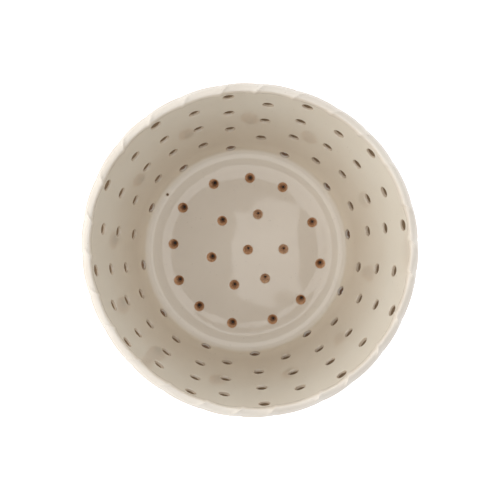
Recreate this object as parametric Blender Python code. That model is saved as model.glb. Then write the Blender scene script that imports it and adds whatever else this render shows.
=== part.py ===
"""A round draining bowl in glazed stoneware: a pierced floor, a pierced wall, a thumb-pressed rim and a foot ring.

Metres, +Z up. The origin is under the middle of the bowl, on the plane that the foot ring stands on.
"""

import math

import bmesh
import bpy
from mathutils import Matrix, Vector

# Whole bowl
FOOT_HEIGHT = 0.006
FLOOR_THICKNESS = 0.006
SEAM_GAP = 0.0003
TURN_STEPS = 48

# Inside of the wall: a round corner at the floor, then three long arcs that lean out less and less
FLAT_FLOOR_RADIUS = 0.08166
CORNER_RADIUS = 0.008
LEAN_AT_CORNER = math.radians(25.2)
# How long each arc is, and how the wall leans at its end
WALL_BENDS = ((0.015, math.radians(18.7)), (0.028, math.radians(14.2)), (0.062, math.radians(9.8)))
THICKNESS_AT_CORNER = 0.006
THICKNESS_AT_RIM = 0.0043

# Floor slab, which ends just inside the corner
SLAB_RADIUS = 0.0800

# Drain holes: two rings and a centre hole in the floor, staggered columns in the wall.
# Each was punched from inside with a tapered tool, so that it narrows by a share of its depth.
HOLE_RADIUS = 0.0041
FLOOR_HOLE_TAPER = 0.45
WALL_HOLE_TAPER = 0.10
HOLE_SIDES = 8
CUTTER_START = 0.002
CUTTER_LENGTH = 0.010
# The middle hole, and how far each hole of the two floor rings lies from the middle and turns from +X, in
# degrees: they were punched by eye
FLOOR_MIDDLE_HOLE = (0.0016, 0.0006)
FLOOR_RING_RADII = (
    (0.0325, 0.0330, 0.0330, 0.0305, 0.0315, 0.0295),
    (0.0655, 0.0625, 0.0635, 0.0630, 0.0640, 0.0660, 0.0630, 0.0635, 0.0630, 0.0640, 0.0640, 0.0640),
)
FLOOR_RING_TURNS = (
    (2, 72, 129, 191, 251, 304),
    (-10, 23, 60, 87, 116, 146, 175, 204, 230, 259, 291, 318),
)
COLUMN_COUNT = 24
# How far each column of holes sits past its even place round the wall, in degrees
COLUMN_DRIFTS = (
    9.0, 8.0, 8.5, 7.5, 8.0, 8.0, 8.5, 7.5, 7.5, 6.0, 6.0, 7.0,
    8.0, 7.5, 7.0, 6.5, 7.0, 5.0, 5.0, 5.0, 6.0, 5.5, 6.5, 6.5,
)  # fmt: skip
LEVEL_COUNT = 7
FIRST_LEVEL_RUN = -0.0004
LEVEL_SPACING = 0.01598

# Rim: a coil on the wall's top edge, pressed into scallops with a ridge between each two
RIM_HEIGHT = 0.0065
RIM_RADIUS = 0.1210
# Where the ridges lie round the rim, in degrees: the scallops were spaced by eye
RIDGE_TURNS = (
    3, 16, 32, 46, 59, 74, 88, 101, 115, 129, 142, 156, 170,
    182, 196, 209, 224, 238, 253, 266, 278, 295, 307, 322, 335, 352,
)  # fmt: skip
STEPS_PER_SCALLOP = 4
RIM_WIDTH = 0.0060
RIDGE_INWARD = 0.0013
PRESS_OUTWARD = 0.0004
PRESS_DEPTH = 0.0020
RIM_ARC_STEPS = 8
RIM_FULLNESS = 0.75

# Foot ring
FOOT_OUTER_RADIUS = 0.0770
FOOT_INNER_RADIUS = 0.0690
FOOT_TAPER = 0.0008
FOOT_EDGE_ROUND = 0.0010

# Finishes: linear colour and roughness
GREIGE_GLAZE = ((0.46, 0.38, 0.29), 0.12)
SHADED_GLAZE = ((0.43, 0.35, 0.26), 0.12)
CREAM_GLAZE = ((0.78, 0.73, 0.61), 0.15)
BARE_STONEWARE = ((0.42, 0.29, 0.20), 0.75)

floor_top = FOOT_HEIGHT + FLOOR_THICKNESS
wall_length = sum(length for length, _ in WALL_BENDS)


def clear_scene():
    for old in list(bpy.data.objects):
        bpy.data.objects.remove(old, do_unlink=True)


def finish_of(name, finish):
    """A material of one glaze or clay, with the piece's own name."""
    colour, roughness = finish
    material = bpy.data.materials.new(name)
    material.use_nodes = True
    shader = material.node_tree.nodes["Principled BSDF"]
    shader.inputs["Base Color"].default_value = (*colour, 1.0)
    shader.inputs["Roughness"].default_value = roughness
    shader.inputs["Metallic"].default_value = 0.0
    return material


def new_piece(name, mesh, bowl, height, finish):
    """One sub-part of the bowl, standing at a height above the foot's plane."""
    piece = bpy.data.objects.new(name, mesh)
    bpy.context.scene.collection.objects.link(piece)
    piece.parent = bowl
    piece.location = (0.0, 0.0, height)
    mesh.materials.append(finish_of(name, finish))
    return piece


def turned(name, outline, bowl, height, finish):
    """A piece turned on the wheel: a closed outline of (radius, height) points, swept once round."""
    mesh = bpy.data.meshes.new(name)
    corners = [(radius, 0.0, z) for radius, z in outline]
    edges = [(i, (i + 1) % len(corners)) for i in range(len(corners))]
    mesh.from_pydata(corners, edges, [])
    piece = new_piece(name, mesh, bowl, height, finish)
    sweep = piece.modifiers.new("Turn", "SCREW")
    sweep.axis = "Z"
    sweep.angle = math.tau
    sweep.steps = TURN_STEPS
    sweep.render_steps = TURN_STEPS
    sweep.use_merge_vertices = True
    sweep.merge_threshold = 0.00001
    return piece


def bend_run(lean, bend, run):
    """How far out and up a line goes along a run that starts at a lean and bends at a steady rate."""
    end = lean + bend * run
    out = (math.cos(lean) - math.cos(end)) / bend
    up = (math.sin(end) - math.sin(lean)) / bend
    return out, up, end


def wall_station(run):
    """Radius, height above the floor and lean of the wall's inside, at a run up from the corner."""
    turn = math.pi / 2 - LEAN_AT_CORNER
    radius = FLAT_FLOOR_RADIUS + CORNER_RADIUS * math.sin(turn)
    height = CORNER_RADIUS * (1.0 - math.cos(turn))
    lean = LEAN_AT_CORNER
    for length, end_lean in WALL_BENDS:
        part = min(run, length)
        out, up, lean = bend_run(lean, (end_lean - lean) / length, part)
        radius += out
        height += up
        run -= part
        if run <= 0.0:
            break
    return radius, height, lean


def wall_thickness(run):
    share = run / wall_length
    return THICKNESS_AT_CORNER + (THICKNESS_AT_RIM - THICKNESS_AT_CORNER) * share


def corner_arc(radius, steps):
    """Points of a round corner about the inner corner's own centre, from straight down to the wall's lean."""
    points = []
    for i in range(steps):
        turn = (math.pi / 2 - LEAN_AT_CORNER) * i / steps
        out = FLAT_FLOOR_RADIUS + radius * math.sin(turn)
        points.append((out, CORNER_RADIUS - radius * math.cos(turn)))
    return points


def wall_outline():
    """The wall's cross-section: down the outside, in under the corner, and up the inside."""
    stations = 9
    corner_steps = 4
    runs = [wall_length * i / (stations - 1) for i in range(stations)]
    inside = corner_arc(CORNER_RADIUS, corner_steps)
    outside = corner_arc(CORNER_RADIUS + THICKNESS_AT_CORNER, corner_steps)
    for run in runs:
        radius, height, lean = wall_station(run)
        thickness = wall_thickness(run)
        inside.append((radius, height))
        outside.append((radius + thickness * math.cos(lean), height - thickness * math.sin(lean)))
    # The top edge is cut level, where the rim is luted on
    outside[-1] = (outside[-1][0], inside[-1][1])
    start = SLAB_RADIUS + SEAM_GAP / 2
    outline = list(reversed(outside))
    outline.append((start, -FLOOR_THICKNESS))
    outline.append((start, 0.0))
    outline.extend(inside)
    return outline


def slab_outline():
    edge = SLAB_RADIUS - SEAM_GAP / 2
    return [(0.0, 0.0), (edge, 0.0), (edge, -FLOOR_THICKNESS), (0.0, -FLOOR_THICKNESS)]


def foot_outline():
    """The foot's cross-section: a low, slightly tapered ring with both lower edges rounded off."""
    top = FOOT_HEIGHT - SEAM_GAP
    outer = FOOT_OUTER_RADIUS - FOOT_TAPER
    inner = FOOT_INNER_RADIUS + FOOT_TAPER
    return [
        (FOOT_OUTER_RADIUS, top),
        (outer, FOOT_EDGE_ROUND),
        (outer - FOOT_EDGE_ROUND, 0.0),
        (inner + FOOT_EDGE_ROUND, 0.0),
        (inner, FOOT_EDGE_ROUND),
        (FOOT_INNER_RADIUS, top),
    ]


def pierced(piece, name, places, taper, bowl):
    """Pierces a piece with tapered holes: each place is a hole's middle on the inside and the way that it runs."""
    start_radius = HOLE_RADIUS + taper * CUTTER_START
    shape = bmesh.new()
    for inside, way in places:
        middle = inside + way * (CUTTER_LENGTH / 2 - CUTTER_START)
        turn = Vector((0.0, 0.0, 1.0)).rotation_difference(way).to_matrix().to_4x4()
        bmesh.ops.create_cone(
            shape,
            cap_ends=True,
            segments=HOLE_SIDES,
            radius1=start_radius,
            radius2=start_radius - taper * CUTTER_LENGTH,
            depth=CUTTER_LENGTH,
            matrix=Matrix.Translation(middle) @ turn,
        )
    mesh = bpy.data.meshes.new(name)
    shape.to_mesh(mesh)
    shape.free()
    cutter = bpy.data.objects.new(name, mesh)
    bpy.context.scene.collection.objects.link(cutter)
    cutter.parent = bowl
    cutter.location = piece.location
    cutter.hide_render = True
    cutter.display_type = "WIRE"
    cut = piece.modifiers.new("Drain holes", "BOOLEAN")
    cut.operation = "DIFFERENCE"
    cut.solver = "EXACT"
    cut.object = cutter


def floor_hole_places():
    down = Vector((0.0, 0.0, -1.0))
    places = [(Vector((*FLOOR_MIDDLE_HOLE, 0.0)), down)]
    for radii, turns in zip(FLOOR_RING_RADII, FLOOR_RING_TURNS):
        for radius, degrees in zip(radii, turns):
            turn = math.radians(degrees)
            places.append((Vector((radius * math.cos(turn), radius * math.sin(turn), 0.0)), down))
    return places


def wall_hole_places():
    """Every other column holds the odd levels, and the columns between them hold the even ones."""
    places = []
    for column in range(COLUMN_COUNT):
        turn = math.radians(360.0 * column / COLUMN_COUNT + COLUMN_DRIFTS[column])
        for level in range(column % 2, LEVEL_COUNT, 2):
            run = FIRST_LEVEL_RUN + LEVEL_SPACING * level
            radius, height, lean = wall_station(run)
            out = math.cos(lean)
            way = Vector((out * math.cos(turn), out * math.sin(turn), -math.sin(lean)))
            places.append((Vector((radius * math.cos(turn), radius * math.sin(turn), height)), way))
    return places


def rim_section(turn, press):
    """The coil's cross-section at a turn about the bowl: an arch on the wall's top edge, pressed by 0 to 1."""
    outer = RIM_RADIUS - PRESS_OUTWARD * (1.0 - press)
    inner = RIM_RADIUS - RIM_WIDTH - RIDGE_INWARD * (1.0 - press)
    top = RIM_HEIGHT - PRESS_DEPTH * press
    points = []
    for i in range(RIM_ARC_STEPS + 1):
        sweep = math.pi * i / RIM_ARC_STEPS
        radius = (outer + inner) / 2 + (outer - inner) / 2 * math.cos(sweep)
        height = top * max(math.sin(sweep), 0.0) ** RIM_FULLNESS
        points.append(Vector((radius * math.cos(turn), radius * math.sin(turn), height)))
    return points


def rim_mesh():
    """The arches round the rim, skinned into one closed ring."""
    shape = bmesh.new()
    rings = []
    next_ridges = (*RIDGE_TURNS[1:], RIDGE_TURNS[0] + 360)
    for ridge, next_ridge in zip(RIDGE_TURNS, next_ridges):
        for step in range(STEPS_PER_SCALLOP):
            share = step / STEPS_PER_SCALLOP
            turn = math.radians(ridge + (next_ridge - ridge) * share)
            section = rim_section(turn, math.sin(math.pi * share))
            rings.append([shape.verts.new(point) for point in section])
    points_per_ring = RIM_ARC_STEPS + 1
    for ring, next_ring in zip(rings, (*rings[1:], rings[0])):
        for j in range(points_per_ring):
            k = (j + 1) % points_per_ring
            shape.faces.new((ring[j], next_ring[j], next_ring[k], ring[k]))
    mesh = bpy.data.meshes.new("rim_coil")
    shape.to_mesh(mesh)
    shape.free()
    mesh.shade_smooth()
    mesh.set_sharp_from_angle(angle=math.radians(50.0))
    return mesh


clear_scene()
draining_bowl = bpy.data.objects.new("draining_bowl", None)
bpy.context.scene.collection.objects.link(draining_bowl)

floor_disc = turned("floor_disc", slab_outline(), draining_bowl, floor_top, GREIGE_GLAZE)
pierced(floor_disc, "floor_hole_cutter", floor_hole_places(), FLOOR_HOLE_TAPER, draining_bowl)

side_wall = turned("side_wall", wall_outline(), draining_bowl, floor_top, SHADED_GLAZE)
pierced(side_wall, "wall_hole_cutter", wall_hole_places(), WALL_HOLE_TAPER, draining_bowl)

wall_top = floor_top + wall_station(wall_length)[1]
new_piece("rim_coil", rim_mesh(), draining_bowl, wall_top + SEAM_GAP, CREAM_GLAZE)

turned("foot_ring", foot_outline(), draining_bowl, 0.0, BARE_STONEWARE)
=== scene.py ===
import math

import bmesh
import bpy
from mathutils import Matrix, Vector, noise


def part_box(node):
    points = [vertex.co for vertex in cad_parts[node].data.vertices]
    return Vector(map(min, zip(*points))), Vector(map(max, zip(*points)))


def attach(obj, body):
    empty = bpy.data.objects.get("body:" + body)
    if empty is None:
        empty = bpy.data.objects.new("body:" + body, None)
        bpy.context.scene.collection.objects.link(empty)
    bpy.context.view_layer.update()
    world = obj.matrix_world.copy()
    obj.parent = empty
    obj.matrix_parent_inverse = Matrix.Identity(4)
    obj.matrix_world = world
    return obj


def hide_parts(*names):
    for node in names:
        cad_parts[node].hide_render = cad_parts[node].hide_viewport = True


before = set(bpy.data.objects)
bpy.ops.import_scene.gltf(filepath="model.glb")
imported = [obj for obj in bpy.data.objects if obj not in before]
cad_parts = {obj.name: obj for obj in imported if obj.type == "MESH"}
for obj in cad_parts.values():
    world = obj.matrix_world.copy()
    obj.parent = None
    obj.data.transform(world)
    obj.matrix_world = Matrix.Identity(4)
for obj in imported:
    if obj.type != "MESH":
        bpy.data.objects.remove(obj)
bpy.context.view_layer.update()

# Pierced floor
# The bottom of the pot: brown stoneware, thrown in one with the wall and ribbed into a shallow dish.
# Its 19 drain holes were punched from inside with a tapered tool, and greige glaze runs up to their lips.

floor_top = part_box("floor_disc")[1].z
floor_thickness = floor_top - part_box("floor_disc")[0].z
wall_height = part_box("side_wall")[1].z - floor_top

# The inside of the pot, as a line from the middle of the floor to the rim
CORNER_RADIUS = 0.0060
WALL_FOOT_RADIUS = 0.0889
WALL_FOOT_HEIGHT = 0.00459
LEAN_AT_FOOT = math.radians(25.2)
# The wall straightens in four bends: how long each is, and how the wall leans at its end
WALL_BENDS = (
    (0.015, math.radians(18.7)),
    (0.022, math.radians(14.0)),
    (0.053, math.radians(11.8)),
    (0.015, math.radians(11.0)),
)
THICKNESS_AT_RIM = 0.0043
wall_length = sum(length for length, _ in WALL_BENDS)
corner_turn = math.pi / 2 - LEAN_AT_FOOT
corner_length = CORNER_RADIUS * corner_turn
straight_run = (WALL_FOOT_HEIGHT - CORNER_RADIUS * (1.0 - math.cos(corner_turn))) / math.cos(LEAN_AT_FOOT)
flat_radius = WALL_FOOT_RADIUS - straight_run * math.sin(LEAN_AT_FOOT)
flat_radius -= CORNER_RADIUS * math.sin(corner_turn)
floor_length = flat_radius + corner_length + straight_run

# The rib left two soft slopes round the floor: where each starts and ends, and how high it climbs
FLOOR_SLOPES = ((0.0622, 0.0760, 0.00090), (0.0794, 0.0836, 0.00030))
# Between them it left a low swell towards the front: how high it is, and where it ends
FRONT_SWELL = 0.00050
FRONT_SWELL_END = (0.0725, 0.0800)
# It grows towards the front between these two sines of the turn
FRONT_SWELL_GROWS = (0.35, 0.95)
UNEVEN_FLOOR = 0.00016
UNEVEN_FLOOR_WAVE = 0.030
UNEVEN_FLOOR_FADES = 0.070

# The pot is a little out of round at its mouth
OVAL = 0.00095
THREE_SIDED = 0.00066
BULGE_TURN = math.radians(154.5)
BULGE_GROWTH = 4
# The fingers that threw it left low rings on its outside, in one spiral
THROWING_RINGS = 0.00018
THROWING_RING_SPACING = 0.0132

# Drain holes
HOLE_RADIUS = 0.0041
FLOOR_HOLE_TAPER = 0.45
FLOOR_LIP = 0.0005
OUTER_LIP = 0.0005
INSIDE_STEPS = 8
OUTSIDE_STEPS = 4
LIP_STEPS = 4
# Glaze breaks thin over a lip: how near to bare it is there and in a bore
THIN_GLAZE = 0.25
# The last row of points before a lip, as a share of the way from the cell's edge
NEAR_THE_LIP = 0.95
# Shares of a bore's depth at which its clay is laid out
BORE_SHARES = (0.15, 0.30, 0.45, 0.60, 0.85)
# The punch left a burr on the way out of the floor, which narrows the hole there, as glaze in the bore does
FLOOR_BURR = 0.0003
WASH_BURR = 0.0004
# Painted shade: the bores of the floor are painted darker between these two shares of their depth, and so
# much at most
FLOOR_SHADE_DEPTH = (0.35, 0.90)
FLOOR_BORE_SHADE = 0.72
# The middle hole, and how far each hole of the two floor rings lies from the middle and turns from +X, in
# degrees: they were punched by eye
FLOOR_MIDDLE_HOLE = (0.0016, 0.0006)
FLOOR_RING_RADII = (
    (0.0325, 0.0330, 0.0330, 0.0305, 0.0315, 0.0295),
    (0.0655, 0.0625, 0.0635, 0.0630, 0.0640, 0.0660, 0.0630, 0.0635, 0.0630, 0.0640, 0.0640, 0.0640),
)
FLOOR_RING_TURNS = (
    (2, 72, 129, 191, 251, 304),
    (-10, 23, 60, 87, 116, 146, 175, 204, 230, 259, 291, 318),
)
# The punch leaned to the back right, so far for each unit of depth, and was held so much askew besides
PUNCH_LEAN = Vector((0.10, 0.15))
PUNCH_ASKEW = 0.18
# How much thin glaze is painted into the middle hole and into those of each floor ring, as a painted
# reflection of the light above
MIDDLE_SHEEN_WASH = 0.36
FLOOR_RING_SHEEN_WASHES = (
    (0.43, 0.43, 0.0, 0.0, 0.15, 0.43),
    (0.10, 0.15, 0.15, 0.0, 0.0, 0.0, 0.0, 0.10, 0.0, 0.05, 0.10, 0.12),
)

# The floor is laid out in rings of cells with one hole each, on even steps round: where the rings end
FLOOR_CELL_EDGES = (0.0160, 0.0475, 0.0730)
FLOOR_STEPS_ROUND = 180
FLOOR_SPOKE_STEPS = 8
FLOOR_BORDER_RINGS = 10
FLOOR_EDGE = 0.0800
# The turn from a hole to the first corner of its cell, in degrees, and the same for the middle hole's cell
FIRST_CORNER = 135.0
MIDDLE_FIRST_CORNER = 225.0

# Points closer than this are welded, and edges sharper than this stay sharp
WELD = 0.000002
SHARP_EDGE = math.radians(60.0)
# How far apart neighbours lie in the noise that lets hole and press differ, and where each kind starts in it
WANDER_STRIDE = (7.31, 3.17)
WANDER_LAYER = 0.5
PUNCH_SIDEWAYS = 40
HOLE_RUN = 200
PRESS = 300


def smooth_step(low, high, value):
    share = min(max((value - low) / (high - low), 0.0), 1.0)
    return share * share * (3.0 - 2.0 * share)


def bend_run(lean, bend, run):
    """How far out and up a line goes along a run that starts at a lean and bends at a steady rate."""
    end = lean + bend * run
    out = (math.cos(lean) - math.cos(end)) / bend
    up = (math.sin(end) - math.sin(lean)) / bend
    return out, up, end


def inside_line(run):
    """Radius, height above the floor and lean of the inside, at a run up the wall from its foot.

    Below the foot come a short straight run, the corner, and the floor.
    """
    if run < -straight_run - corner_length:
        return floor_length + run, 0.0, math.pi / 2
    if run < -straight_run:
        turn = corner_turn + (run + straight_run) / CORNER_RADIUS
        radius = flat_radius + CORNER_RADIUS * math.sin(turn)
        return radius, CORNER_RADIUS * (1.0 - math.cos(turn)), math.pi / 2 - turn
    if run < 0.0:
        radius = WALL_FOOT_RADIUS + run * math.sin(LEAN_AT_FOOT)
        return radius, WALL_FOOT_HEIGHT + run * math.cos(LEAN_AT_FOOT), LEAN_AT_FOOT
    radius = WALL_FOOT_RADIUS
    height = WALL_FOOT_HEIGHT
    lean = LEAN_AT_FOOT
    for length, end_lean in WALL_BENDS:
        part = min(run, length)
        out, up, lean = bend_run(lean, (end_lean - lean) / length, part)
        radius += out
        height += up
        run -= part
        if run <= 0.0:
            break
    return radius, height, lean


def clay_thickness(run):
    share = max(run, 0.0) / wall_length
    return floor_thickness + (THICKNESS_AT_RIM - floor_thickness) * share


def out_of_round(turn, height):
    share = max(height / wall_height, 0.0) ** BULGE_GROWTH
    away = turn - BULGE_TURN
    return share * (OVAL * math.cos(2.0 * away) + THREE_SIDED * math.cos(3.0 * away))


def hollow(turn, run):
    """How far the inside lies below its line: the slopes that the rib left, and how uneven the floor is."""
    if run > 0.0:
        return 0.0
    radius = inside_line(run)[0]
    depth = sum(climb * (1.0 - smooth_step(start, end, radius)) for start, end, climb in FLOOR_SLOPES)
    swell_start, swell_top, _ = FLOOR_SLOPES[0]
    swell = smooth_step(swell_start, swell_top, radius) * (1.0 - smooth_step(*FRONT_SWELL_END, radius))
    depth -= FRONT_SWELL * swell * smooth_step(*FRONT_SWELL_GROWS, -math.sin(turn))
    place = Vector((radius * math.cos(turn), radius * math.sin(turn), 0.0)) / UNEVEN_FLOOR_WAVE
    fade = 1.0 - smooth_step(UNEVEN_FLOOR_FADES, FLOOR_EDGE, radius)
    return depth + UNEVEN_FLOOR * noise.noise(place) * fade


def skin(turn, run, depth):
    """A point in the clay: depth 0 is the inside of the bowl, and a depth of its thickness is the outside."""
    radius, height, lean = inside_line(run)
    share = depth / clay_thickness(run)
    depth += hollow(turn, run) * (1.0 - share)
    if run > 0.0:
        rings = math.sin(math.tau * run / THROWING_RING_SPACING - turn)
        depth += THROWING_RINGS * share * rings * smooth_step(0.0, THROWING_RING_SPACING, run)
    radius += depth * math.cos(lean) + out_of_round(turn, height)
    height -= depth * math.sin(lean)
    return Vector((radius * math.cos(turn), radius * math.sin(turn), floor_top + height))


class Clay:
    """One piece while it is being shaped: its points, its faces, and the state of its clay at each point.

    Bareness goes from 0 under glaze to 1 on bare clay, and the painted shade from 0 to 1 where a bore is
    painted dark.
    """

    def __init__(self):
        self.points = []
        self.states = {"bareness": [], "soot": []}
        self.faces = []

    def row(self, points, bareness=None, soot=0.0):
        first = len(self.points)
        self.points.extend(points)
        self.states["bareness"].extend(bareness or [0.0] * len(points))
        self.states["soot"].extend([soot] * len(points))
        return list(range(first, len(self.points)))

    def lace(self, rows, closed=True):
        """Faces between each row of points and the next one."""
        for one, other in zip(rows, rows[1:]):
            count = len(one)
            for i in range(count if closed else count - 1):
                k = (i + 1) % count
                self.faces.append((one[i], one[k], other[k], other[i]))


def fired(name, clay, finish):
    """Makes an object of the clay: welded, facing outwards, and smooth except at its hidden seams."""
    shape = bmesh.new()
    layers = {state: shape.verts.layers.float.new(state) for state in clay.states}
    verts = []
    for i, point in enumerate(clay.points):
        vert = shape.verts.new(point)
        for state, values in clay.states.items():
            vert[layers[state]] = values[i]
        verts.append(vert)
    for face in clay.faces:
        shape.faces.new([verts[i] for i in face])
    bmesh.ops.remove_doubles(shape, verts=shape.verts, dist=WELD)
    bmesh.ops.recalc_face_normals(shape, faces=shape.faces)
    mesh = bpy.data.meshes.new(name)
    shape.to_mesh(mesh)
    shape.free()
    mesh.shade_smooth()
    mesh.set_sharp_from_angle(angle=SHARP_EDGE)
    mesh.materials.append(finish)
    piece = bpy.data.objects.new(name, mesh)
    bpy.context.scene.collection.objects.link(piece)
    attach(piece, "root")
    return piece


class Bore:
    """How a hole came out: its taper, its burr, how round its lip is, its painted shade at a depth, and its
    glaze.

    The glaze is given at a turn about the hole and a depth.
    """

    def __init__(self, taper, burr, lip, soot, glaze):
        self.taper = taper
        self.burr = burr
        self.lip = lip
        self.soot = soot
        self.glaze = glaze


def pierce(clay, sides, hole_place, bore, inside_steps, run_at, skin_at):
    """One hole and the clay round it, from its cell's edge on the inside to the same edge on the outside.

    sides are the four sides of the cell's edge, each a list of places without its last one. hole_place
    gives the place at a distance and a turn from the hole's middle at a depth, run_at the run at a place,
    and skin_at the point there.
    """
    edge = []
    turns = []
    for quarter, side in enumerate(sides):
        edge.extend(side)
        start = math.radians(90.0 * quarter - FIRST_CORNER)
        turns.extend(start + math.pi / 2 * i / len(side) for i in range(len(side)))
    thickness = clay_thickness(run_at(hole_place(0.0, 0.0, 0.0)))
    narrow = HOLE_RADIUS - bore.taper * thickness - bore.burr

    def circle(radius, depth):
        return [hole_place(radius, turn, depth) for turn in turns]

    def between(places, others, share):
        return [(p + (r - p) * share, q + (s - q) * share) for (p, q), (r, s) in zip(places, others)]

    rows = []
    mouth = circle(HOLE_RADIUS + bore.lip, 0.0)
    for share in (*(i / inside_steps for i in range(inside_steps)), NEAR_THE_LIP):
        places = between(edge, mouth, share)
        rows.append(clay.row([skin_at(place, 0.0) for place in places]))
    for i in range(LIP_STEPS + 1):
        bow = math.pi / 2 * i / LIP_STEPS
        depth = bore.lip * (1.0 - math.cos(bow))
        places = circle(HOLE_RADIUS + bore.lip * (1.0 - math.sin(bow)), depth)
        bareness = [max(1.0 - bore.glaze(turn, 0.0), THIN_GLAZE) * i / LIP_STEPS for turn in turns]
        rows.append(clay.row([skin_at(place, depth) for place in places], bareness))
    # Deeper in, the bore and its exit are painted dark as painted shade
    for share in BORE_SHARES:
        depth = thickness * share
        places = circle(HOLE_RADIUS - bore.taper * depth, depth)
        bareness = [max(1.0 - bore.glaze(turn, share), THIN_GLAZE) for turn in turns]
        rows.append(clay.row([skin_at(place, depth) for place in places], bareness, bore.soot(share)))
    for i in range(LIP_STEPS + 1):
        bow = math.pi / 2 * i / LIP_STEPS
        rise = OUTER_LIP * (1.0 - math.sin(bow))
        places = circle(narrow + OUTER_LIP * (1.0 - math.cos(bow)), thickness)
        points = [skin_at(place, clay_thickness(run_at(place)) - rise) for place in places]
        rows.append(clay.row(points, [1.0 - i / LIP_STEPS] * len(points), bore.soot(1.0)))
    back = circle(narrow + OUTER_LIP, thickness)
    for i in range(1, OUTSIDE_STEPS + 1):
        places = between(back, edge, i / OUTSIDE_STEPS)
        rows.append(clay.row([skin_at(place, clay_thickness(run_at(place))) for place in places]))
    clay.lace(rows)


def sheen_washed_bore(sheen_wash):
    """A hole of the floor with an even wash of thin glaze in its bore, which stands as a painted reflection
    of the light above and thins its painted shade.
    """
    # Painted shade deep in the bore, less where the wash is painted in
    most_soot = FLOOR_BORE_SHADE * (1.0 - sheen_wash) ** 2

    def soot(share):
        return most_soot * smooth_step(*FLOOR_SHADE_DEPTH, share)

    return Bore(FLOOR_HOLE_TAPER, FLOOR_BURR + WASH_BURR * sheen_wash, FLOOR_LIP, soot, lambda turn, share: sheen_wash)


def floor_run(place):
    return math.hypot(*place) - floor_length


def floor_skin(place, depth):
    return skin(math.atan2(place[1], place[0]), floor_run(place), depth)


def wander(index, amount):
    """A small offset that differs from hole to hole."""
    along, across_it = WANDER_STRIDE
    return amount * noise.noise(Vector((index * along, index * across_it, WANDER_LAYER)))


def floor_hole(middle, index):
    """Where a floor hole lies. The punch leaned, a little differently for each hole."""
    outward = middle.normalized()
    around = Vector((-outward.y, outward.x))
    askew = PUNCH_LEAN + Vector((wander(index, PUNCH_ASKEW), wander(index + PUNCH_SIDEWAYS, PUNCH_ASKEW)))

    def hole_place(radius, angle, depth):
        spot = middle + askew * depth + (around * math.cos(angle) + outward * math.sin(angle)) * radius
        return spot.x, spot.y

    return hole_place


def floor_place(radius, step):
    turn = math.tau * step / FLOOR_STEPS_ROUND
    return radius * math.cos(turn), radius * math.sin(turn)


def floor_arc(radius, first, last):
    steps = range(first, last, 1 if last > first else -1)
    return [floor_place(radius, step) for step in steps]


def floor_spoke(step, start, end):
    count = FLOOR_SPOKE_STEPS
    return [floor_place(start + (end - start) * i / count, step) for i in range(count)]


floor_clay = Clay()
middle_spot = Vector(FLOOR_MIDDLE_HOLE)
middle_turn = math.degrees(math.atan2(middle_spot.y, middle_spot.x))
quarter = FLOOR_STEPS_ROUND // 4
first_step = round((middle_turn + MIDDLE_FIRST_CORNER) * FLOOR_STEPS_ROUND / 360.0)
corner_steps = [first_step - quarter * i for i in range(5)]
middle_cell = [floor_arc(FLOOR_CELL_EDGES[0], a, b) for a, b in zip(corner_steps, corner_steps[1:])]
middle_hole = floor_hole(middle_spot, 0)
pierce(floor_clay, middle_cell, middle_hole, sheen_washed_bore(MIDDLE_SHEEN_WASH), INSIDE_STEPS, floor_run, floor_skin)
floor_hole_count = 1
for ring, hole_turns in enumerate(FLOOR_RING_TURNS):
    low, high = FLOOR_CELL_EDGES[ring : ring + 2]
    next_turns = (*hole_turns[1:], hole_turns[0] + 360)
    cell_ends = [round((a + b) / 2 * FLOOR_STEPS_ROUND / 360) for a, b in zip(hole_turns, next_turns)]
    cell_starts = [cell_ends[-1] - FLOOR_STEPS_ROUND, *cell_ends[:-1]]
    holes = zip(FLOOR_RING_RADII[ring], hole_turns, FLOOR_RING_SHEEN_WASHES[ring], cell_starts, cell_ends)
    for radius, hole_turn, sheen_wash, first, last in holes:
        cell = [
            floor_arc(low, first, last),
            floor_spoke(last, low, high),
            floor_arc(high, last, first),
            floor_spoke(first, high, low),
        ]
        turn = math.radians(hole_turn)
        spot = Vector((radius * math.cos(turn), radius * math.sin(turn)))
        hole = floor_hole(spot, floor_hole_count)
        pierce(floor_clay, cell, hole, sheen_washed_bore(sheen_wash), INSIDE_STEPS, floor_run, floor_skin)
        floor_hole_count += 1

border_inside = []
border_outside = []
for i in range(FLOOR_BORDER_RINGS + 1):
    radius = FLOOR_CELL_EDGES[-1] + (FLOOR_EDGE - FLOOR_CELL_EDGES[-1]) * i / FLOOR_BORDER_RINGS
    places = [floor_place(radius, step) for step in range(FLOOR_STEPS_ROUND)]
    border_inside.append(floor_clay.row([floor_skin(place, 0.0) for place in places]))
    border_outside.append(floor_clay.row([floor_skin(place, floor_thickness) for place in places]))
floor_clay.lace(border_inside)
floor_clay.lace(border_outside)
floor_clay.lace([border_inside[-1], border_outside[-1]])

# Greige glaze: a glossy, slightly mottled glaze with fine specks, broken to brown clay where it ran thin
GREIGE = (0.655, 0.562, 0.446)
GREIGE_DEEP = (0.622, 0.526, 0.410)
# Painted light: the paler tone painted into the corner of the floor
GREIGE_CORNER_LIGHT = (0.728, 0.641, 0.522)
GREIGE_THIN = (0.590, 0.490, 0.380)
GREIGE_HIGH = (0.694, 0.643, 0.550)
GREIGE_HIGH_DEEP = (0.669, 0.608, 0.510)
SPECK = (0.300, 0.210, 0.140)
BROWN_CLAY = (0.665, 0.400, 0.235)
BROWN_CLAY_DARK = (0.480, 0.260, 0.140)
# The dark colours of the painted shade in the bores and the pinhole, low down and higher up
SHADED_CLAY = (0.080, 0.032, 0.010)
SHADED_CLAY_HIGH = (0.180, 0.124, 0.072)
# The painted shade is greyer and lighter above the floor, from between these heights
SHADE_CHANGE = (0.0105, 0.0125)
GLAZE_INDEX = 1.95
# How strongly the glaze shines, and the bare clay
SHINE = (0.50, 0.12)
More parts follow.
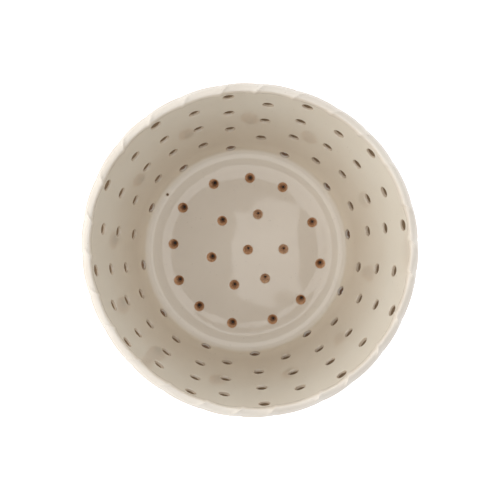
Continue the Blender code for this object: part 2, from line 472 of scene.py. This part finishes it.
# Between these heights the glaze changes from its low tones to its high ones
GLAZE_CHANGE = (0.012, 0.090)
# Painted light: the glaze is painted paler in the corner of the floor, from where to where on the floor, and
# up to which height
CORNER_LIGHT_START = (0.069, 0.080)
CORNER_LIGHT_END = (0.026, 0.013)
# A pinhole that burst in the glaze near the corner: where it is, and where its edge starts and ends. It shows
# bare clay, painted dark with the bores' shade colour as the shade in its pit
PINHOLE = (-0.0678, 0.0481, 0.0125)
PINHOLE_EDGE = (0.0010, 0.0018)
# The glaze was wiped off under the pot up to this far from the middle of the foot, and up to this height
FOOT_MIDDLE = 0.0730
WIPED_EDGE = (0.0068, 0.0072)
WIPED_HEIGHT = (0.0066, 0.0070)
WIPED_GRAIN = 120.0
WIPED_WAVE = 0.0012
# Grains, in swells to the metre, and between which two of their levels each shows
GRIT_GRAIN = 420.0
GRIT_SHOWS = (0.35, 0.65)
CLOUD_GRAIN = 26.0
CLOUD_SHOWS = (0.32, 0.70)
# Specks are cells of one grain, where another one lets them show
SPECK_GRAIN = 330.0
SPECK_EDGE = (0.10, 0.20)
SPECK_RARE_GRAIN = 150.0
SPECK_RARE_SHOWS = (0.62, 0.68)
SPECK_STRENGTH = 0.25
# The edge of the glaze is ragged by so much either way, and bare clay shows between these levels of bareness
RAGGED_GRAIN = 900.0
RAGGED = 0.15
BARE_SHOWS = (0.42, 0.62)
# How rough the glaze is at its two extremes, and how much rougher bare clay is
GLOSS_GRAIN = 60.0
GLOSS_SHOWS = (0.3, 0.7)
GLOSS = (0.015, 0.03)
CLAY_ROUGHER = 0.6
# Wide ripples and fine peel in the glaze: grain, strength and depth
RIPPLE = (75.0, 0.03, 0.0012)
PEEL = (800.0, 0.04, 0.0002)


class Finish:
    """A material and a short way to add its nodes: kind, settings, and what each input takes."""

    def __init__(self, name):
        self.material = bpy.data.materials.new(name)
        self.material.use_nodes = True
        self.tree = self.material.node_tree
        self.shader = self.tree.nodes["Principled BSDF"]
        self.where = self.add("TexCoord").outputs["Object"]

    def add(self, kind, settings=None, **takes):
        node = self.tree.nodes.new("ShaderNode" + kind)
        for name, value in (settings or {}).items():
            setattr(node, name, value)
        for name, value in takes.items():
            self.feed(node.inputs[name.replace("_", " ")], value)
        return node

    def feed(self, socket, value):
        if isinstance(value, bpy.types.NodeSocket):
            self.tree.links.new(value, socket)
        elif isinstance(value, tuple):
            socket.default_value = (*value, 1.0) if len(socket.default_value) == 4 else value
        else:
            socket.default_value = value

    def grain(self, scale, detail=2.0):
        """Even noise from 0 to 1 over the piece, with so many swells to the metre."""
        return self.add("TexNoise", Vector=self.where, Scale=scale, Detail=detail).outputs["Fac"]

    def span(self, value, low, high, start=0.0, end=1.0):
        """value from low to high, laid over start to end."""
        node = self.add("MapRange", Value=value)
        for name, setting in (("From Min", low), ("From Max", high), ("To Min", start), ("To Max", end)):
            self.feed(node.inputs[name], setting)
        return node.outputs["Result"]

    def blend(self, share, one, other):
        node = self.add("Mix", {"data_type": "RGBA"})
        self.feed(node.inputs[0], share)
        self.feed(node.inputs[6], one)
        self.feed(node.inputs[7], other)
        return node.outputs[2]

    def math(self, operation, one, other):
        node = self.add("Math", {"operation": operation})
        self.feed(node.inputs[0], one)
        self.feed(node.inputs[1], other)
        return node.outputs["Value"]

    def bump(self, height, strength, distance, under=None):
        node = self.add("Bump", Height=height, Strength=strength, Distance=distance)
        if under is not None:
            self.feed(node.inputs["Normal"], under)
        return node.outputs["Normal"]


def clay_colour(finish):
    """Brown stoneware with its darker grit."""
    grit = finish.span(finish.grain(GRIT_GRAIN, 3.0), *GRIT_SHOWS)
    return finish.blend(grit, BROWN_CLAY, BROWN_CLAY_DARK)


def glazed(name, low_tones, high_tones):
    """A glossy glaze over brown clay, which shows where the piece is bare.

    Its two close tones, thin and deep, change from the foot of the pot to the rim. It also carries painted
    light, a paler tone in the floor's corner, and painted shade, a dark tone in the bores and the pinhole.
    """
    finish = Finish(name)
    parts = finish.add("SeparateXYZ", Vector=finish.where).outputs
    up = finish.span(parts["Z"], *GLAZE_CHANGE)
    cloud = finish.span(finish.grain(CLOUD_GRAIN, 4.0), *CLOUD_SHOWS)
    colour = finish.blend(up, finish.blend(cloud, *low_tones), finish.blend(cloud, *high_tones))
    level = finish.add("CombineXYZ", X=parts["X"], Y=parts["Y"]).outputs["Vector"]
    radius = finish.add("VectorMath", {"operation": "LENGTH"}, Vector=level).outputs["Value"]
    # Painted light: the corner where the floor meets the wall is painted paler
    corner_light = finish.math("MULTIPLY", finish.span(radius, *CORNER_LIGHT_START), finish.span(parts["Z"], *CORNER_LIGHT_END))
    colour = finish.blend(corner_light, colour, GREIGE_CORNER_LIGHT)
    specks = finish.add("TexVoronoi", Vector=finish.where, Scale=SPECK_GRAIN, Randomness=1.0)
    rare = finish.span(finish.grain(SPECK_RARE_GRAIN, 0.0), *SPECK_RARE_SHOWS)
    speck = finish.math("MULTIPLY", finish.span(specks.outputs["Distance"], *SPECK_EDGE, 1.0, 0.0), rare)
    colour = finish.blend(finish.math("MULTIPLY", speck, SPECK_STRENGTH), colour, SPECK)
    bareness = finish.add("Attribute", {"attribute_name": "bareness"}).outputs["Fac"]
    # The painted shade of the bores
    soot = finish.add("Attribute", {"attribute_name": "soot"}).outputs["Fac"]
    colour = finish.blend(finish.span(bareness, 0.0, THIN_GLAZE), colour, GREIGE_THIN)
    stray = finish.span(finish.grain(RAGGED_GRAIN, 2.0), 0.0, 1.0, -RAGGED, RAGGED)
    ragged = finish.math("ADD", bareness, stray)
    pinhole = finish.add("VectorMath", {"operation": "DISTANCE"}, Vector=finish.where)
    finish.feed(pinhole.inputs[1], PINHOLE)
    burst = finish.span(pinhole.outputs["Value"], *PINHOLE_EDGE, 1.0, 0.0)
    wave = finish.span(finish.grain(WIPED_GRAIN, 3.0), 0.0, 1.0, -WIPED_WAVE, WIPED_WAVE)
    wavy_radius = finish.math("ADD", radius, wave)
    from_foot = finish.math("ABSOLUTE", finish.math("SUBTRACT", wavy_radius, FOOT_MIDDLE), 0.0)
    under = finish.span(parts["Z"], *WIPED_HEIGHT, 1.0, 0.0)
    wiped = finish.math("MULTIPLY", finish.span(from_foot, *WIPED_EDGE, 1.0, 0.0), under)
    bare = finish.math("MAXIMUM", finish.span(ragged, *BARE_SHOWS), finish.math("MAXIMUM", burst, wiped))
    # Painted shade: deep in the bores and in the pinhole the clay is painted dark
    shaded_clay = finish.blend(finish.span(parts["Z"], *SHADE_CHANGE), SHADED_CLAY, SHADED_CLAY_HIGH)
    dark = finish.math("MAXIMUM", soot, burst)
    colour = finish.blend(bare, colour, finish.blend(dark, clay_colour(finish), shaded_clay))
    finish.feed(finish.shader.inputs["Base Color"], colour)
    finish.feed(finish.shader.inputs["IOR"], GLAZE_INDEX)
    finish.feed(finish.shader.inputs["Specular IOR Level"], finish.span(bare, 0.0, 1.0, *SHINE))
    gloss = finish.span(finish.grain(GLOSS_GRAIN, 2.0), *GLOSS_SHOWS, *GLOSS)
    rough = finish.math("ADD", gloss, finish.math("MULTIPLY", bare, CLAY_ROUGHER))
    finish.feed(finish.shader.inputs["Roughness"], rough)
    normal = None
    for grain, strength, deep in (RIPPLE, PEEL):
        normal = finish.bump(finish.grain(grain, 1.0), strength, deep, normal)
    finish.feed(finish.shader.inputs["Normal"], normal)
    return finish.material


greige_glaze = glazed("greige glaze", (GREIGE, GREIGE_DEEP), (GREIGE_HIGH, GREIGE_HIGH_DEEP))
pierced_floor = fired("pierced_floor", floor_clay, greige_glaze)
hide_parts("floor_disc")

# Pierced wall
# The side of the pot: brown stoneware, thrown with a rounded corner at the floor and opened towards the rim.
# 84 holes were punched in it, in 24 columns and 7 staggered levels. It has the same glaze as the floor.

COLUMN_COUNT = 24
# How far each column of holes sits past its even place round the wall, in degrees
COLUMN_DRIFTS = (
    9.0, 8.0, 8.5, 7.5, 8.0, 8.0, 8.5, 7.5, 7.5, 6.0, 6.0, 7.0,
    8.0, 7.5, 7.0, 6.5, 7.0, 5.0, 5.0, 5.0, 6.0, 5.5, 6.5, 6.5,
)  # fmt: skip
LEVEL_COUNT = 7
FIRST_LEVEL_RUN = -0.0004
LEVEL_SPACING = 0.01598
# The levels halfway up lie a little higher than even
LEVEL_BOW = 0.0018
WALL_HOLE_TAPER = 0.10
HOLE_STRAY_TURN = math.radians(0.4)
HOLE_STRAY_RUN = 0.0006
# The wall was opened again after punching, which squeezed the holes near the corner: how tall they are left
SQUEEZED_LEVELS = (0.76, 0.96, 1.0, 1.0, 1.0, 1.0, 1.0)
# The glaze that ran into a bore ends between these shares of its depth, and so much deeper on each level
GLAZED_BORE = (0.20, 0.42)
# It ran in on the lower side of the hole, and is gone between these two sines of the turn
GLAZED_SIDE = (-0.2, 0.6)
GLAZED_DEEPER = (0.09, 0.08, 0.08, 0.06, 0.05, 0.14, 0.04)
# The glaze reaches so much deeper into the bores towards the right (+X), and as much less towards the left,
# so that less of their painted shade shows on the right
GLAZE_DEEPER_TO_RIGHT = 0.05
WALL_LIP = 0.0007
# Painted shade: the bores of the wall are painted darker between these two shares of their depth, and so much
# on each level
WALL_SHADE_DEPTH = (0.05, 0.35)
WALL_BORE_SHADE = (0.84, 0.92, 0.97, 0.97, 0.97, 0.97, 0.95)

# The wall's cells: one hole wide, and two levels high
WALL_START_RUN = FLOOR_EDGE - floor_length
FIRST_CELL_RUN = -0.0064
WALL_END_RUN = 0.104
CORNER_RINGS = 12
WALL_INSIDE_STEPS = 4
CELL_STEPS_ACROSS = 12
# How many steps lie between each two levels, from the first cell's edge to the wall's end
STEPS_BETWEEN_LEVELS = (6, 4, 4, 4, 4, 4, 4, 3)

wall_levels = [FIRST_CELL_RUN]
for level in range(LEVEL_COUNT):
    bow = LEVEL_BOW * math.sin(math.pi * level / (LEVEL_COUNT - 1))
    wall_levels.append(FIRST_LEVEL_RUN + LEVEL_SPACING * level + bow)
wall_levels.append(WALL_END_RUN)
column_turns = [math.radians(360.0 * i / COLUMN_COUNT + drift) for i, drift in enumerate(COLUMN_DRIFTS)]
next_column_turns = [*column_turns[1:], column_turns[0] + math.tau]
column_ends = [(a + b) / 2 for a, b in zip(column_turns, next_column_turns)]
column_starts = [column_ends[-1] - math.tau, *column_ends[:-1]]


def across(start, end):
    """Turns from one side of a column to the other, without the last."""
    return [start + (end - start) * i / CELL_STEPS_ACROSS for i in range(CELL_STEPS_ACROSS)]


def climb(low, high):
    """Runs from one of the wall's levels up to another, with both."""
    runs = []
    for level in range(low, high):
        start, end = wall_levels[level : level + 2]
        count = STEPS_BETWEEN_LEVELS[level]
        runs.extend(start + (end - start) * i / count for i in range(count))
    return [*runs, wall_levels[high]]


def wall_run(place):
    return place[1]


def wall_skin(place, depth):
    return skin(place[0], place[1], depth)


def wall_hole(turn, run, squeeze, index):
    """Where a hole of the wall lies: square to the wall, and a little off its even place."""
    turn += wander(index, HOLE_STRAY_TURN)
    run += wander(index + HOLE_RUN, HOLE_STRAY_RUN)
    radius_there = inside_line(run)[0]

    def hole_place(radius, angle, depth):
        return turn + radius * math.cos(angle) / radius_there, run + radius * math.sin(angle) * squeeze

    return hole_place


def wall_patch(clay, turns, runs):
    """Wall without a hole, inside and outside."""
    inside = [clay.row([skin(turn, run, 0.0) for turn in turns]) for run in runs]
    outside = [clay.row([skin(turn, run, clay_thickness(run)) for turn in turns]) for run in runs]
    return inside, outside


def wall_bore(level, column_turn):
    """A hole of the wall. Glaze ran down the wall into its mouth, on its lower side; deeper in, the bore is
    painted dark as painted shade.
    """
    deeper = GLAZED_DEEPER[level] + GLAZE_DEEPER_TO_RIGHT * math.cos(column_turn)

    def glaze(turn, share):
        ends = smooth_step(*GLAZED_BORE, share - deeper)
        return (1.0 - smooth_step(*GLAZED_SIDE, math.sin(turn))) * (1.0 - ends)

    # Painted shade: the bore is painted darker with depth
    def soot(share):
        return WALL_BORE_SHADE[level] * smooth_step(*WALL_SHADE_DEPTH, share)

    return Bore(WALL_HOLE_TAPER, 0.0, WALL_LIP, soot, glaze)


wall_clay = Clay()
for column, (start, end) in enumerate(zip(column_starts, column_ends)):
    top = len(wall_levels) - 1
    hole_levels = range(1 + column % 2, top, 2)
    for level in hole_levels:
        runs = climb(level - 1, level + 1)
        there = across(start, end)
        back_again = across(end, start)
        cell = [
            [(turn, runs[0]) for turn in there],
            [(end, run) for run in runs[:-1]],
            [(turn, runs[-1]) for turn in back_again],
            [(start, run) for run in runs[:0:-1]],
        ]
        squeeze = SQUEEZED_LEVELS[level - 1]
        hole = wall_hole(column_turns[column], wall_levels[level], squeeze, column * LEVEL_COUNT + level)
        bore = wall_bore(level - 1, column_turns[column])
        pierce(wall_clay, cell, hole, bore, WALL_INSIDE_STEPS, wall_run, wall_skin)
    if column % 2:
        for runs in (climb(0, 1), climb(top - 1, top)):
            for rows in wall_patch(wall_clay, [*across(start, end), end], runs):
                wall_clay.lace(rows, closed=False)

all_turns = [turn for start, end in zip(column_starts, column_ends) for turn in across(start, end)]
corner_runs = [
    WALL_START_RUN + (FIRST_CELL_RUN - WALL_START_RUN) * i / CORNER_RINGS for i in range(CORNER_RINGS + 1)
]
corner_inside, corner_outside = wall_patch(wall_clay, all_turns, corner_runs)
wall_clay.lace(corner_inside)
wall_clay.lace(corner_outside)
wall_clay.lace([corner_inside[0], corner_outside[0]])
top_inside, top_outside = wall_patch(wall_clay, all_turns, [WALL_END_RUN])
wall_clay.lace([top_inside[0], top_outside[0]])

pierced_wall = fired("pierced_wall", wall_clay, greige_glaze)
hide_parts("side_wall")

# Pressed rim
# The thickened top edge of the wall, pressed outwards by thumb 26 times while the clay was soft.
# A ridge is left between each two presses.

# Where the ridges lie round the rim, in degrees: the presses were spaced by eye
RIDGE_TURNS = (
    3, 16, 32, 46, 59, 74, 88, 101, 115, 129, 142, 156, 170,
    182, 196, 209, 224, 238, 253, 266, 278, 295, 307, 322, 335, 352,
)  # fmt: skip
STEPS_PER_PRESS = 22
RIM_ROWS = 28
# The rim stands in past the wall's inside, and is widest a little above the wall's end
RIM_OVERHANG = 0.0008
RIM_WIDTH = 0.0065
RIM_ROLL = 0.0006
RIDGE_INWARD = 0.0013
RIDGE_WIDTH = 0.0017
RIDGE_SHARE = 0.55
# Each thumb slid as it pressed, so that the ridges run slanting over the rim, from a lead on its inside
RIDGE_SLANT = math.radians(4.5)
RIDGE_LEAD = 0.20
PRESS_DEPTH = 0.0020
PRESS_VARIES = 0.6
PRESS_OUTWARD = 0.0005
# Where the rim is highest, as a share of its width, and how square it is inside and outside of that
CROWN_ON_RIDGE = 0.40
CROWN_IN_PRESS = 0.24
INSIDE_SQUARENESS = 0.60
OUTSIDE_SQUARENESS = 1.35
# Painted shade along the outer edge: between these two shares of the rim's width it is painted towards bare
# clay, and this is how near to bare it is there
SHADED_EDGE = (0.86, 0.97)
SHADED_EDGE_BARENESS = 0.55
CREAM = (0.755, 0.690, 0.602)
CREAM_DEEP = (0.705, 0.631, 0.540)

rim_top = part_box("rim_coil")[1].z - floor_top
rim_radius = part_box("rim_coil")[1].x


def rim_press(share, width):
    """How far a thumb pressed the rim, from 0 on a ridge to 1 in the middle of the press.

    Part of it is a wide dish, and the rest is the narrow ridge.
    """
    from_ridge = min(share, 1.0 - share) * width
    ridge = math.exp(-((from_ridge / RIDGE_WIDTH) ** 2))
    dish = math.sin(math.pi * share) ** 2
    return (1.0 - RIDGE_SHARE) * dish + RIDGE_SHARE * (1.0 - ridge)


def rim_points(turn, press, press_outside):
    """The rim's cross-section from the wall's inside over the top to its outside, and its bareness there,
    with painted shade as bare clay along its outer edge.
    """
    start = skin(turn, WALL_END_RUN, 0.0)
    end = skin(turn, WALL_END_RUN, clay_thickness(WALL_END_RUN))
    inner = math.hypot(start.x, start.y) - RIM_OVERHANG
    outer = inner + RIM_WIDTH + PRESS_OUTWARD * press_outside
    inner -= RIDGE_INWARD * (1.0 - press)
    base = start.z + RIM_ROLL
    top = floor_top + rim_top - PRESS_DEPTH * press - base
    crown = CROWN_ON_RIDGE + (CROWN_IN_PRESS - CROWN_ON_RIDGE) * press
    points = [start]
    bareness = [0.0]
    for i in range(RIM_ROWS + 1):
        bow = math.pi * i / RIM_ROWS
        if i < RIM_ROWS / 2:
            across_share = crown * (1.0 - math.cos(bow) ** INSIDE_SQUARENESS)
            rise = math.sin(bow) ** INSIDE_SQUARENESS
        else:
            across_share = crown + (1.0 - crown) * abs(math.cos(bow)) ** OUTSIDE_SQUARENESS
            rise = max(math.sin(bow), 0.0) ** OUTSIDE_SQUARENESS
        radius = inner + (outer - inner) * across_share
        slid = turn + RIDGE_SLANT * (RIDGE_LEAD - across_share)
        points.append(Vector((radius * math.cos(slid), radius * math.sin(slid), base + top * rise)))
        # Painted shade: the outer edge is painted towards bare clay
        bareness.append(SHADED_EDGE_BARENESS * smooth_step(*SHADED_EDGE, across_share))
    return [*points, end], [*bareness, 0.0]


rim_clay = Clay()
rim_rows = []
for i, ridge in enumerate(RIDGE_TURNS):
    following = RIDGE_TURNS[i + 1] if i + 1 < len(RIDGE_TURNS) else RIDGE_TURNS[0] + 360
    press_width = math.radians(following - ridge) * rim_radius
    deeper = 1.0 + wander(i + PRESS, PRESS_VARIES)
    for step in range(STEPS_PER_PRESS):
        share = step / STEPS_PER_PRESS
        turn = math.radians(ridge + (following - ridge) * share)
        press = rim_press(share, press_width) * deeper
        slid_share = share - RIDGE_SLANT * (1.0 - RIDGE_LEAD) / math.radians(following - ridge)
        press_outside = rim_press(slid_share % 1.0, press_width)
        rim_rows.append(rim_clay.row(*rim_points(turn, press, press_outside)))
rim_clay.lace([*rim_rows, rim_rows[0]])

cream_glaze = glazed("cream glaze", (GREIGE_HIGH, GREIGE_HIGH_DEEP), (CREAM, CREAM_DEEP))
pressed_rim = fired("pressed_rim", rim_clay, cream_glaze)
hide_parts("rim_coil")

# Foot ring
# The low ring that the pot stands on, turned from the same brown stoneware under the floor.
# Glaze was wiped off it before firing, so that it shows bare clay with turning marks.

FOOT_STEPS_ROUND = 180
FOOT_OUTER_RADIUS = 0.0770
FOOT_INNER_RADIUS = 0.0690
FOOT_TAPER = 0.0008
FOOT_EDGE_ROUND = 0.0012
FOOT_EDGE_STEPS = 5
FOOT_FLARE = 0.0009
# The flare reaches this many times as far down as out, and bends at these shares of its reach
FLARE_DROP = 1.5
FLARE_BEND = (1.0 / 3.0, 1.0 / 2.0)
FOOT_SUNK = 0.0002
# The turning tool left shallow grooves on its sides and under it
SIDE_GROOVES = 3
UNDER_GROOVES = 4
GROOVE_DEPTH = 0.00018
# A groove's cross-section: shares of its width, and of its depth there
GROOVE_SECTION = ((0.25, 0.0), (0.5, 1.0), (0.75, 0.0))
# The bare clay: how rough it is worn, and its fine grit as grain, strength and depth
WORN_GRAIN = 90.0
WORN_SHOWS = (0.35, 0.65)
WORN = (0.62, 0.85)
FINE_GRIT = (2600.0, 0.25, 0.0002)

foot_top = floor_top - floor_thickness


def grooved(start, end, grooves):
    """A straight run of the foot's cross-section with shallow grooves in it, without its ends."""
    run = Vector(end) - Vector(start)
    into = Vector((run.y, -run.x)).normalized() * GROOVE_DEPTH
    points = []
    for groove in range(grooves):
        for across_groove, depth in GROOVE_SECTION:
            point = Vector(start) + run * ((groove + across_groove) / grooves) + into * depth
            points.append((point.x, point.y))
    return points


def foot_outline():
    """The foot's cross-section: flared where it meets the floor, with both lower edges rounded off."""
    outer = FOOT_OUTER_RADIUS - FOOT_TAPER
    inner = FOOT_INNER_RADIUS + FOOT_TAPER
    flare_end = foot_top - FOOT_FLARE * FLARE_DROP
    bend_out = FOOT_FLARE * FLARE_BEND[0]
    bend_height = foot_top - FOOT_FLARE * FLARE_BEND[1]
    points = [(FOOT_OUTER_RADIUS + FOOT_FLARE, foot_top + FOOT_SUNK)]
    points.append((FOOT_OUTER_RADIUS + bend_out, bend_height))
    points.append((FOOT_OUTER_RADIUS, flare_end))
    points.extend(grooved((FOOT_OUTER_RADIUS, flare_end), (outer, FOOT_EDGE_ROUND), SIDE_GROOVES))
    for i in range(FOOT_EDGE_STEPS + 1):
        bow = math.pi / 2 * i / FOOT_EDGE_STEPS
        sideways = FOOT_EDGE_ROUND * (1.0 - math.cos(bow))
        points.append((outer - sideways, FOOT_EDGE_ROUND * (1.0 - math.sin(bow))))
    points.extend(grooved((outer - FOOT_EDGE_ROUND, 0.0), (inner + FOOT_EDGE_ROUND, 0.0), UNDER_GROOVES))
    for i in range(FOOT_EDGE_STEPS + 1):
        bow = math.pi / 2 * (1.0 - i / FOOT_EDGE_STEPS)
        sideways = FOOT_EDGE_ROUND * (1.0 - math.cos(bow))
        points.append((inner + sideways, FOOT_EDGE_ROUND * (1.0 - math.sin(bow))))
    points.extend(grooved((inner, FOOT_EDGE_ROUND), (FOOT_INNER_RADIUS, flare_end), SIDE_GROOVES))
    points.append((FOOT_INNER_RADIUS, flare_end))
    points.append((FOOT_INNER_RADIUS - bend_out, bend_height))
    points.append((FOOT_INNER_RADIUS - FOOT_FLARE, foot_top + FOOT_SUNK))
    return points


foot_clay = Clay()
foot_rows = []
for step in range(FOOT_STEPS_ROUND):
    turn = math.tau * step / FOOT_STEPS_ROUND
    points = [Vector((r * math.cos(turn), r * math.sin(turn), z)) for r, z in foot_outline()]
    foot_rows.append(foot_clay.row([*points, points[0]]))
foot_clay.lace([*foot_rows, foot_rows[0]], closed=False)

bare_stoneware = Finish("bare stoneware")
bare_stoneware.feed(bare_stoneware.shader.inputs["Base Color"], clay_colour(bare_stoneware))
worn = bare_stoneware.span(bare_stoneware.grain(WORN_GRAIN, 3.0), *WORN_SHOWS, *WORN)
bare_stoneware.feed(bare_stoneware.shader.inputs["Roughness"], worn)
grit_grain, grit_strength, grit_depth = FINE_GRIT
grit = bare_stoneware.bump(bare_stoneware.grain(grit_grain, 3.0), grit_strength, grit_depth)
bare_stoneware.feed(bare_stoneware.shader.inputs["Normal"], grit)
foot_ring = fired("foot_ring_turned", foot_clay, bare_stoneware.material)
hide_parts("foot_ring")

# Studio
# A plain white floor under the bowl, white all round, and soft light.

FLOOR_SIZE = 6.0
FLOOR_WHITE = (0.45, 0.45, 0.45)
# The paper shows white all round the bowl, but not under it, where the bowl's shadow lies
FLOOR_GLOW = 0.85
GLOW_FADE = (0.096, 0.122)
# How bright the white round the bowl is, level with it and from this height of the dome upwards
LIGHT_FROM_SIDES = 1.53
LIGHT_FROM_ABOVE = 0.58
DOME_HEIGHT = 0.75
# It is brighter towards one side, by so much, and as much darker towards the other: level with the bowl,
# and from this height of the dome upwards
BRIGHT_SIDE = math.radians(142)
BRIGHT_SIDE_LOW = 0.85
BRIGHT_SIDE_HIGH = 0.40
BRIGHT_SIDE_HEIGHT = 0.25

stage_mesh = bpy.data.meshes.new("studio_floor")
half = FLOOR_SIZE / 2
floor_corners = [(-half, -half, 0), (half, -half, 0), (half, half, 0), (-half, half, 0)]
stage_mesh.from_pydata(floor_corners, [], [(0, 1, 2, 3)])
studio_floor = bpy.data.objects.new("studio_floor", stage_mesh)
bpy.context.scene.collection.objects.link(studio_floor)

paper = Finish("white paper")
away = paper.add("VectorMath", {"operation": "LENGTH"}, Vector=paper.where).outputs["Value"]
paper.feed(paper.shader.inputs["Base Color"], FLOOR_WHITE)
paper.feed(paper.shader.inputs["Roughness"], 1.0)
paper.feed(paper.shader.inputs["Specular IOR Level"], 0.0)
path = paper.add("LightPath").outputs
seen = paper.math("MAXIMUM", path["Is Camera Ray"], path["Is Glossy Ray"])
seen = paper.math("MAXIMUM", seen, path["Is Transmission Ray"])
glow = paper.span(away, *GLOW_FADE, 0.0, FLOOR_GLOW)
paper.feed(paper.shader.inputs["Emission Strength"], paper.math("MULTIPLY", seen, glow))
stage_mesh.materials.append(paper.material)

world = bpy.data.worlds.new("white studio")
bpy.context.scene.world = world
world.use_nodes = True
sky_nodes = world.node_tree.nodes
sky_links = world.node_tree.links
sky = sky_nodes["Background"]
sky.inputs["Color"].default_value = (1.0, 1.0, 1.0, 1.0)
way = sky_nodes.new("ShaderNodeTexCoord")
parts = sky_nodes.new("ShaderNodeSeparateXYZ")
sky_links.new(way.outputs["Generated"], parts.inputs[0])
dome = sky_nodes.new("ShaderNodeMapRange")
dome.inputs["From Max"].default_value = DOME_HEIGHT
dome.inputs["To Max"].default_value = LIGHT_FROM_ABOVE
sky_links.new(parts.outputs["Z"], dome.inputs["Value"])
side = sky_nodes.new("ShaderNodeVectorMath")
side.operation = "DOT_PRODUCT"
side.inputs[1].default_value = (math.cos(BRIGHT_SIDE), math.sin(BRIGHT_SIDE), 0.0)
sky_links.new(way.outputs["Generated"], side.inputs[0])
tilt = sky_nodes.new("ShaderNodeMath")
tilt.operation = "MULTIPLY_ADD"
tilt.inputs[2].default_value = LIGHT_FROM_SIDES
slant = sky_nodes.new("ShaderNodeMapRange")
slant.inputs["From Max"].default_value = BRIGHT_SIDE_HEIGHT
slant.inputs["To Min"].default_value = LIGHT_FROM_SIDES * BRIGHT_SIDE_LOW
slant.inputs["To Max"].default_value = LIGHT_FROM_SIDES * BRIGHT_SIDE_HIGH
sky_links.new(parts.outputs["Z"], slant.inputs["Value"])
sky_links.new(slant.outputs["Result"], tilt.inputs[1])
sky_links.new(side.outputs["Value"], tilt.inputs[0])
sky_links.new(tilt.outputs["Value"], dome.inputs["To Min"])
sky_path = sky_nodes.new("ShaderNodeLightPath")
shown = sky_path.outputs["Is Camera Ray"]
for ray in ("Is Glossy Ray", "Is Transmission Ray"):
    either = sky_nodes.new("ShaderNodeMath")
    either.operation = "MAXIMUM"
    sky_links.new(shown, either.inputs[0])
    sky_links.new(sky_path.outputs[ray], either.inputs[1])
    shown = either.outputs[0]
level = sky_nodes.new("ShaderNodeMapRange")
level.inputs["To Max"].default_value = 1.0
sky_links.new(shown, level.inputs["Value"])
sky_links.new(dome.outputs["Result"], level.inputs["To Min"])
sky_links.new(level.outputs["Result"], sky.inputs["Strength"])


def soft_light(name, place, aim, width, length, brightness):
    """A soft box: brightness is how bright its face looks, where 1 is white."""
    data = bpy.data.lights.new(name, "AREA")
    data.shape = "RECTANGLE"
    data.size = width
    data.size_y = length
    data.energy = brightness * math.pi * width * length
    lamp = bpy.data.objects.new(name, data)
    lamp.location = place
    lamp.rotation_euler = (Vector(aim) - Vector(place)).to_track_quat("-Z", "Y").to_euler()
    bpy.context.scene.collection.objects.link(lamp)
    return lamp


soft_light(
    "overhead_box",
    place=(0.096, 0.010, 1.2),
    aim=(0.096, 0.010, 0.0),
    width=0.165,
    length=0.235,
    brightness=0.62,
)
# The glaze mirrors the white all round in place of the two side boxes
BOWL_MIDDLE = (0.0, 0.0, 0.06)
left_box = soft_light(
    "left_box", place=(-1.15, -0.20, 0.88), aim=BOWL_MIDDLE, width=1.6, length=1.2, brightness=1.60
)
left_box.visible_glossy = False
right_box = soft_light(
    "right_box", place=(1.1, 0.1, 0.9), aim=BOWL_MIDDLE, width=1.0, length=1.0, brightness=0.90
)
right_box.visible_glossy = False

# Camera
CAMERA_PLACE = Vector((-0.024, -0.0065, 0.656))
CAMERA_AIM = Vector((-0.0013, -0.0008, 0.121))
CAMERA_LENS = 53.6

camera_data = bpy.data.cameras.new("camera")
camera_data.lens = CAMERA_LENS
camera_data.sensor_width = 36.0
camera = bpy.data.objects.new("camera", camera_data)
back = (CAMERA_PLACE - CAMERA_AIM).normalized()
right = Vector((0.0, 1.0, 0.0)).cross(back).normalized()
turned = Matrix((right, back.cross(right), back)).transposed().to_4x4()
camera.matrix_world = Matrix.Translation(CAMERA_PLACE) @ turned
bpy.context.scene.collection.objects.link(camera)
bpy.context.scene.camera = camera
bpy.context.scene.view_settings.view_transform = "Standard"
